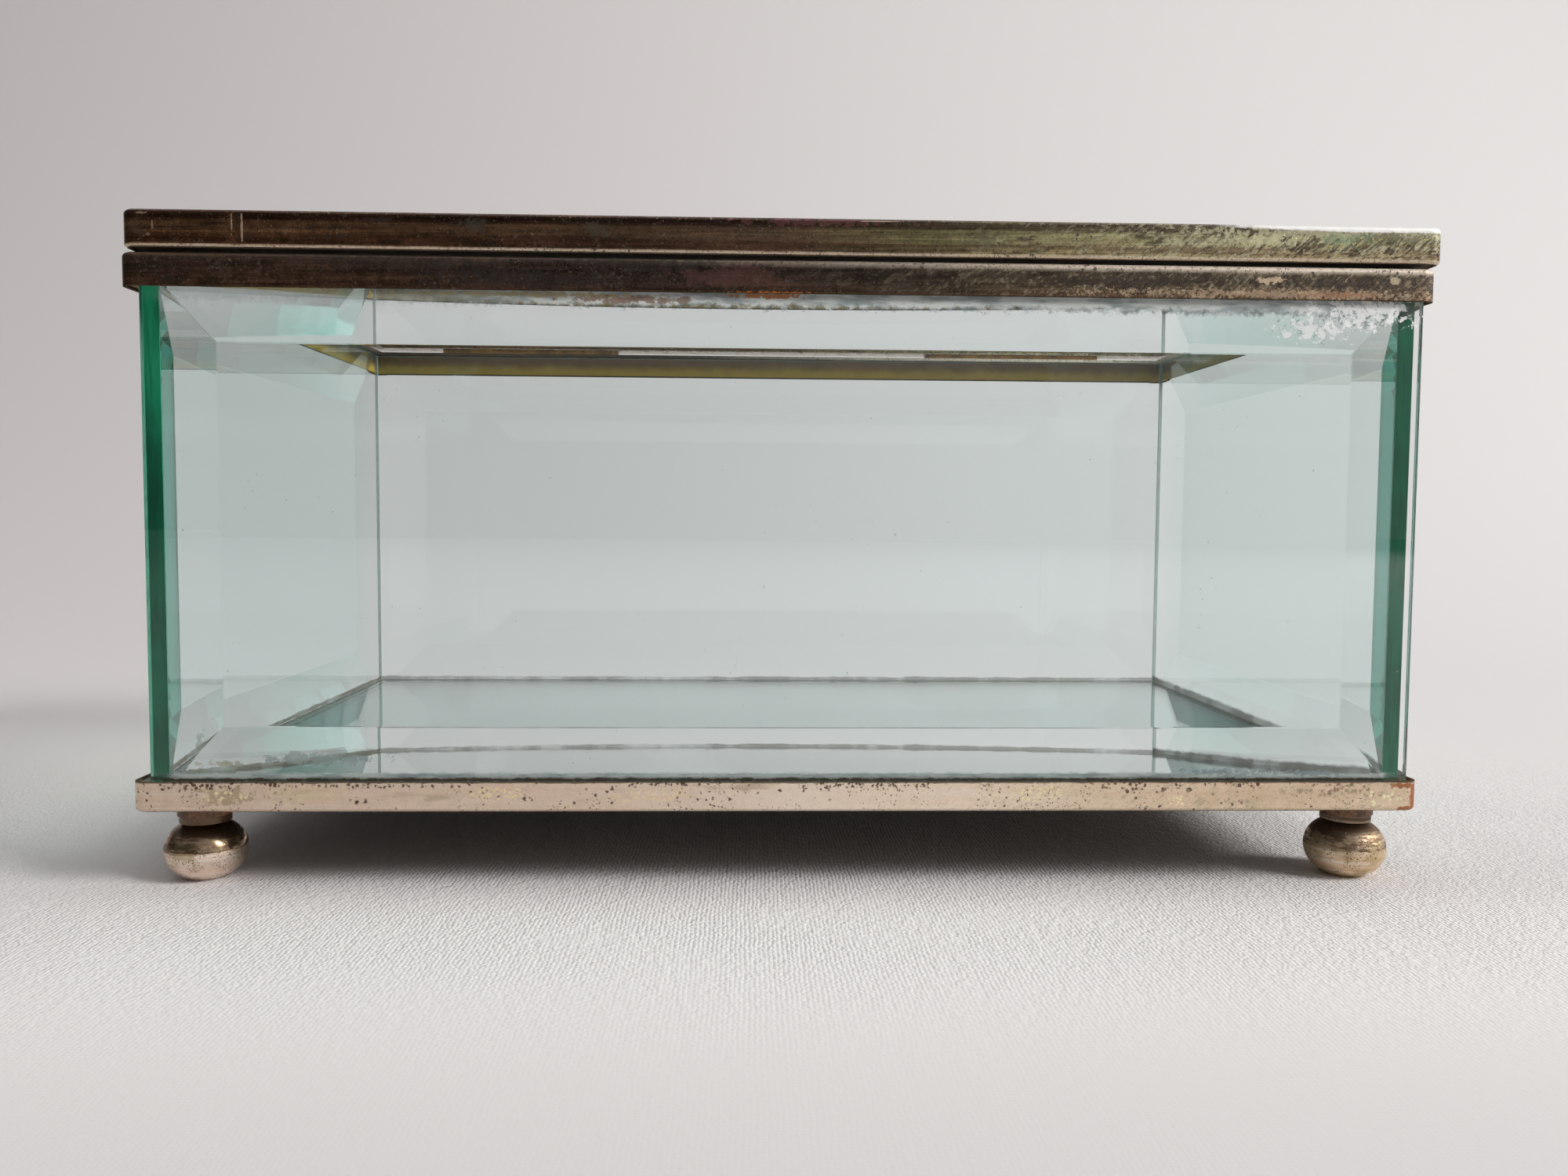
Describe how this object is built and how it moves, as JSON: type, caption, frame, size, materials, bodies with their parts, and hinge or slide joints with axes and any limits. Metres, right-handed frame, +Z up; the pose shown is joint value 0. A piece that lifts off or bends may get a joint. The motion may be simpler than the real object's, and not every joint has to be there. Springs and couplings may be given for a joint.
{
  "type": "bevelled glass casket",
  "caption": "Long casket of bevelled plate glass in thin tarnished metal, on ball feet, with a mirror floor and a framed glass lid hinged along the back.",
  "frame": {"origin": "on the ground, under the middle of the base tray", "axes": "+X to the right along the length as seen from the front, -Y towards the front, +Z up; the lid opens backwards, towards +Y"},
  "size_m": [0.1622, 0.0988, 0.0837],
  "materials": {
    "tray_plate": "nickel plate, worn and pinkish, with rust specks",
    "band_plate": "tarnished nickel plate, dark brown",
    "lid_plate": "tarnished nickel plate, brown to olive",
    "foot_metal": "worn nickel plate, polished above and pitted below",
    "collar_metal": "rusted",
    "hinge_metal": "tarnished",
    "hinge_pin": "bare",
    "plate_glass": "polished, bevelled, a little green",
    "mirror_glass": "polished",
    "silvering": "silvered",
    "card": "plain",
    "cement": "old glazing cement, grey-green"
  },
  "bodies": {
    "casket": {"base_tray": "tray_plate", "foot_front_left": "foot_metal", "foot_front_right": "foot_metal", "foot_back_left": "foot_metal", "foot_back_right": "foot_metal", "collar_front_left": "collar_metal", "collar_front_right": "collar_metal", "collar_back_left": "collar_metal", "collar_back_right": "collar_metal", "floor_card": "card", "mirror_silvering": "silvering", "floor_mirror": "mirror_glass", "front_pane": "plate_glass", "back_pane": "plate_glass", "left_pane": "plate_glass", "right_pane": "plate_glass", "corner_cement": "cement", "lower_cement": "cement", "upper_cement": "cement", "upper_band": "band_plate", "hinge_left_body_leaf": "hinge_metal", "hinge_right_body_leaf": "hinge_metal", "hinge_left_pin": "hinge_pin", "hinge_right_pin": "hinge_pin"},
    "lid": {"lid_frame": "lid_plate", "lid_cement": "cement", "lid_pane": "plate_glass", "hinge_left_lid_leaf": "hinge_metal", "hinge_right_lid_leaf": "hinge_metal"}
  },
  "joints": [
    {"name": "lid_hinge", "type": "hinge", "parent": "casket", "child": "lid", "pos_m": [0, 0.049, 0.0776], "axis": [-1, 0, 0], "range_deg": [0, 105]}
  ]
}
